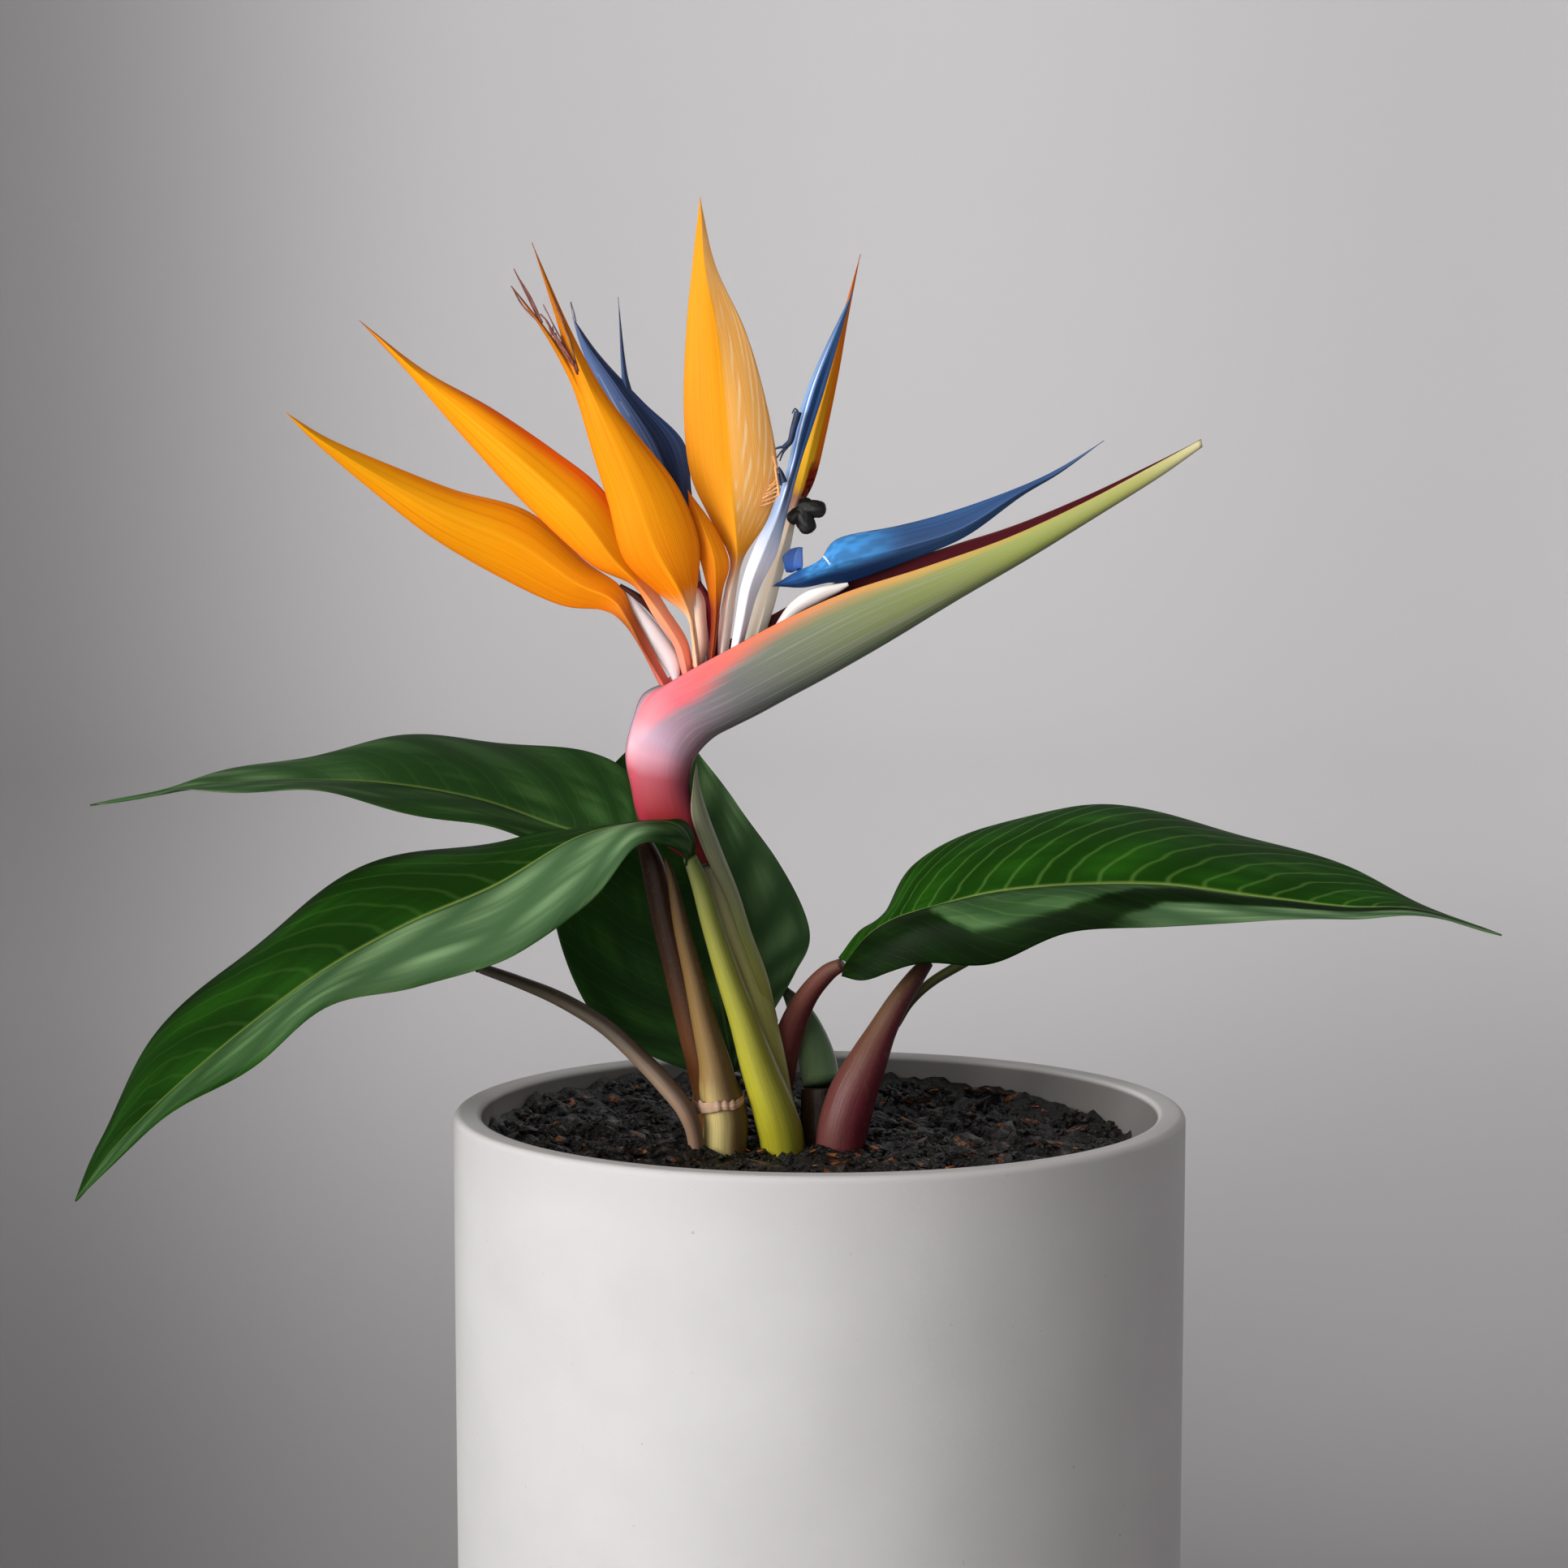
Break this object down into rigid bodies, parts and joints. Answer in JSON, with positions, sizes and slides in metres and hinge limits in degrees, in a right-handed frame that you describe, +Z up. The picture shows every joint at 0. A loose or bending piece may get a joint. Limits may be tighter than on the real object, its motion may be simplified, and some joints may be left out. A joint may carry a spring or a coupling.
{
  "type": "potted bird of paradise",
  "caption": "Potted bird of paradise in bloom: one orange and blue crane-like flower on its stalk, six broad leaves, in a round pale pot.",
  "frame": {"origin": "centre of the pot's flat underside", "axes": "+Z up out of the pot, +X to the viewer's right, along which the flower's beak points, +Y away from the viewer"},
  "size_m": [0.4672, 0.24, 0.5276],
  "materials": {
    "pot_ceramic": "matt",
    "soil_mix": "rough",
    "root": "matt",
    "leaf_green": "satin",
    "stem_green": "satin",
    "stem_brown": "satin",
    "stem_maroon": "satin",
    "dry_tissue": "matt",
    "spathe_skin": "satin",
    "sepal_orange": "satin",
    "petal_blue": "satin",
    "bract_pale": "satin",
    "bract_dark": "satin"
  },
  "bodies": {
    "root": {"pot": "pot_ceramic", "soil": "soil_mix", "rhizome_roots": "root", "flower_stalk": "stem_green", "stalk_bract": "stem_green", "petiole_a": "stem_brown", "petiole_b": "stem_green", "petiole_c": "stem_green", "petiole_d": "stem_maroon", "petiole_f": "stem_maroon", "petiole_g": "stem_brown", "sheath_tan": "stem_brown", "old_leaf_base": "dry_tissue", "sheath_green": "stem_green", "young_leaf": "leaf_green", "dry_sheath": "dry_tissue", "leaf_a": "leaf_green", "leaf_b": "leaf_green", "leaf_c": "leaf_green", "leaf_d": "leaf_green", "leaf_f": "leaf_green", "leaf_g": "leaf_green", "sepal_1": "sepal_orange", "sepal_2": "sepal_orange", "sepal_3": "sepal_orange", "sepal_4": "sepal_orange", "sepal_5": "sepal_orange", "sepal_6": "sepal_orange", "petal_blue_1": "petal_blue", "petal_blue_2": "petal_blue", "petal_blue_3": "petal_blue", "petal_scrap": "petal_blue", "withered_lobe": "dry_tissue", "bract_white": "bract_pale", "bract_brown": "bract_dark", "bract_cream": "bract_pale", "bract_maroon": "bract_dark", "claw_white": "bract_pale", "spathe": "spathe_skin"}
  },
  "joints": []
}
